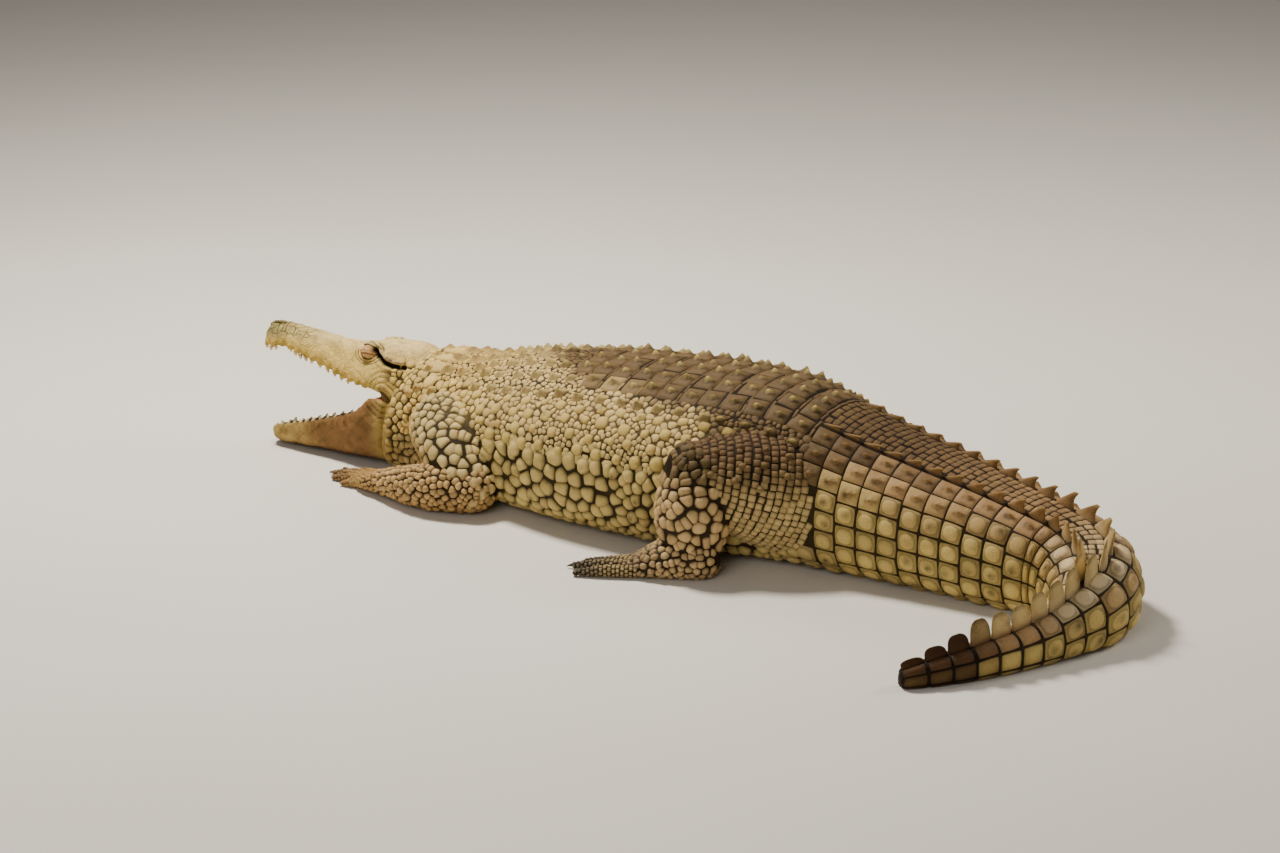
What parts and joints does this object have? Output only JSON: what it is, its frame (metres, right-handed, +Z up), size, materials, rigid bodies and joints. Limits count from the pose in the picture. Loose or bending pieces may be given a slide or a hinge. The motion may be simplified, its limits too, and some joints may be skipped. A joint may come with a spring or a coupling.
{
  "type": "crocodile",
  "caption": "Life-size crocodile lying on its belly with its jaws open, its legs folded beside it and its tail curled round to its left.",
  "frame": {"origin": "on the floor under the middle of the trunk, in the flat of the belly", "axes": "+Z up; the snout points along -X, the animal's left side is -Y and the tail's base lies along +X"},
  "size_m": [2.068, 0.9455, 0.3257],
  "materials": {
    "head_hide": "dry cracked hide over bone, pale horn teeth joined to the jaw's edge",
    "jaw_hide": "dry cracked hide, ochre brown, pale horn teeth joined to the jaw's edge",
    "tongue": "dull mouth floor, grey-green",
    "body_hide": "horny scales, pale at the flank and dark along the back",
    "tail_hide": "square domed scales in rings, with keeled crest scutes",
    "limb_hide": "small bead scales and overlapping shingles",
    "claw_horn": "dull dark horn",
    "eyelid": "closed lid, pinkish"
  },
  "bodies": {
    "root": {"head_upper": "head_hide", "lower_jaw": "jaw_hide", "tongue": "tongue", "throat": "body_hide", "neck": "body_hide", "trunk_front": "body_hide", "trunk_rear": "body_hide", "hips": "body_hide", "tail_1": "tail_hide", "tail_2": "tail_hide", "tail_3": "tail_hide", "tail_4": "tail_hide", "tail_5": "tail_hide", "tail_6": "tail_hide", "tail_7": "tail_hide", "upper_arm_left": "limb_hide", "forearm_left": "limb_hide", "hand_left": "limb_hide", "hand_claw_left_1": "claw_horn", "hand_claw_left_2": "claw_horn", "hand_claw_left_3": "claw_horn", "thigh_left": "limb_hide", "shank_left": "limb_hide", "foot_left": "limb_hide", "foot_claw_left_1": "claw_horn", "foot_claw_left_2": "claw_horn", "foot_claw_left_3": "claw_horn", "upper_arm_right": "limb_hide", "forearm_right": "limb_hide", "hand_right": "limb_hide", "hand_claw_right_1": "claw_horn", "hand_claw_right_2": "claw_horn", "hand_claw_right_3": "claw_horn", "thigh_right": "limb_hide", "shank_right": "limb_hide", "foot_right": "limb_hide", "foot_claw_right_1": "claw_horn", "foot_claw_right_2": "claw_horn", "foot_claw_right_3": "claw_horn", "eye_left": "eyelid", "ear_flap_left": "head_hide", "eye_right": "eyelid", "ear_flap_right": "head_hide"}
  },
  "joints": []
}
